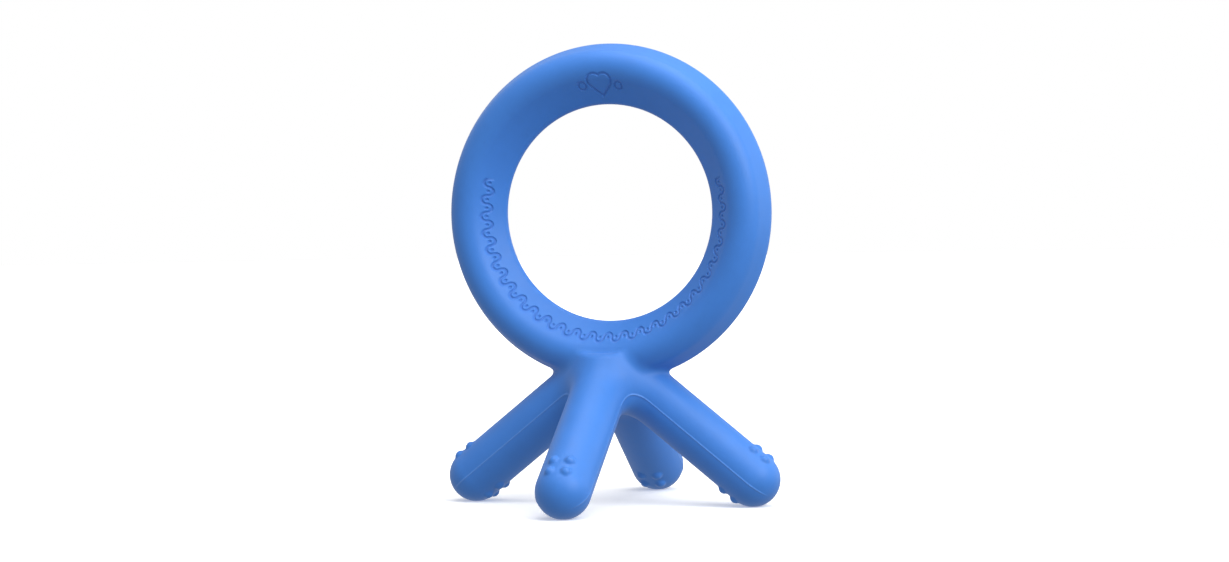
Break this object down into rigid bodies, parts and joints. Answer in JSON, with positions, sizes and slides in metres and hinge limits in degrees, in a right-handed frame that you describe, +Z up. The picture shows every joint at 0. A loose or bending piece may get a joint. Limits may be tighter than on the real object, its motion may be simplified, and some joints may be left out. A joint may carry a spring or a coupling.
{
  "type": "teething ring",
  "caption": "Soft silicone teether: a hand ring of rounded wedge section, standing on spread round-ended legs that flex and carry raised bumps to chew on.",
  "frame": {"origin": "on the resting plane, under the middle of the legs and of the ring", "axes": "+Z up through the ring's centre; the ring stands in the XZ plane, so +Y is along the ring's own axis; the legs spread along -Y (front), +X (right), +Y (back) and -X (left)"},
  "size_m": [0.0844, 0.0844, 0.1119],
  "materials": {
    "silicone": "matt moulded silicone, blue, slightly translucent at thin edges"
  },
  "bodies": {
    "hub": {"hub": "silicone"},
    "ring": {"ring": "silicone"},
    "front_shank": {"front_shank": "silicone"},
    "front_foot": {"front_foot": "silicone"},
    "right_shank": {"right_shank": "silicone"},
    "right_foot": {"right_foot": "silicone"},
    "back_shank": {"back_shank": "silicone"},
    "back_foot": {"back_foot": "silicone"},
    "left_shank": {"left_shank": "silicone"},
    "left_foot": {"left_foot": "silicone"}
  },
  "joints": [
    {"name": "ring_tilt", "type": "hinge", "parent": "hub", "child": "ring", "pos_m": [0, 0, 0.0336], "axis": [1, 0, 0], "range_deg": [-15, 15], "stiffness_Nm_per_rad": 1.6},
    {"name": "front_leg_splay", "type": "hinge", "parent": "hub", "child": "front_shank", "pos_m": [0, -0.0148, 0.02302], "axis": [-1, 0, 0], "range_deg": [-20, 20], "stiffness_Nm_per_rad": 0.27},
    {"name": "front_leg_knuckle", "type": "hinge", "parent": "front_shank", "child": "front_foot", "pos_m": [0, -0.02498, 0.01492], "axis": [-1, 0, 0], "range_deg": [-30, 30], "stiffness_Nm_per_rad": 0.27},
    {"name": "right_leg_splay", "type": "hinge", "parent": "hub", "child": "right_shank", "pos_m": [0.0148, 0, 0.02302], "axis": [0, -1, 0], "range_deg": [-20, 20], "stiffness_Nm_per_rad": 0.27},
    {"name": "right_leg_knuckle", "type": "hinge", "parent": "right_shank", "child": "right_foot", "pos_m": [0.02498, 0, 0.01492], "axis": [0, -1, 0], "range_deg": [-30, 30], "stiffness_Nm_per_rad": 0.27},
    {"name": "back_leg_splay", "type": "hinge", "parent": "hub", "child": "back_shank", "pos_m": [0, 0.0148, 0.02302], "axis": [1, 0, 0], "range_deg": [-20, 20], "stiffness_Nm_per_rad": 0.27},
    {"name": "back_leg_knuckle", "type": "hinge", "parent": "back_shank", "child": "back_foot", "pos_m": [0, 0.02498, 0.01492], "axis": [1, 0, 0], "range_deg": [-30, 30], "stiffness_Nm_per_rad": 0.27},
    {"name": "left_leg_splay", "type": "hinge", "parent": "hub", "child": "left_shank", "pos_m": [-0.0148, 0, 0.02302], "axis": [0, 1, 0], "range_deg": [-20, 20], "stiffness_Nm_per_rad": 0.27},
    {"name": "left_leg_knuckle", "type": "hinge", "parent": "left_shank", "child": "left_foot", "pos_m": [-0.02498, 0, 0.01492], "axis": [0, 1, 0], "range_deg": [-30, 30], "stiffness_Nm_per_rad": 0.27}
  ]
}
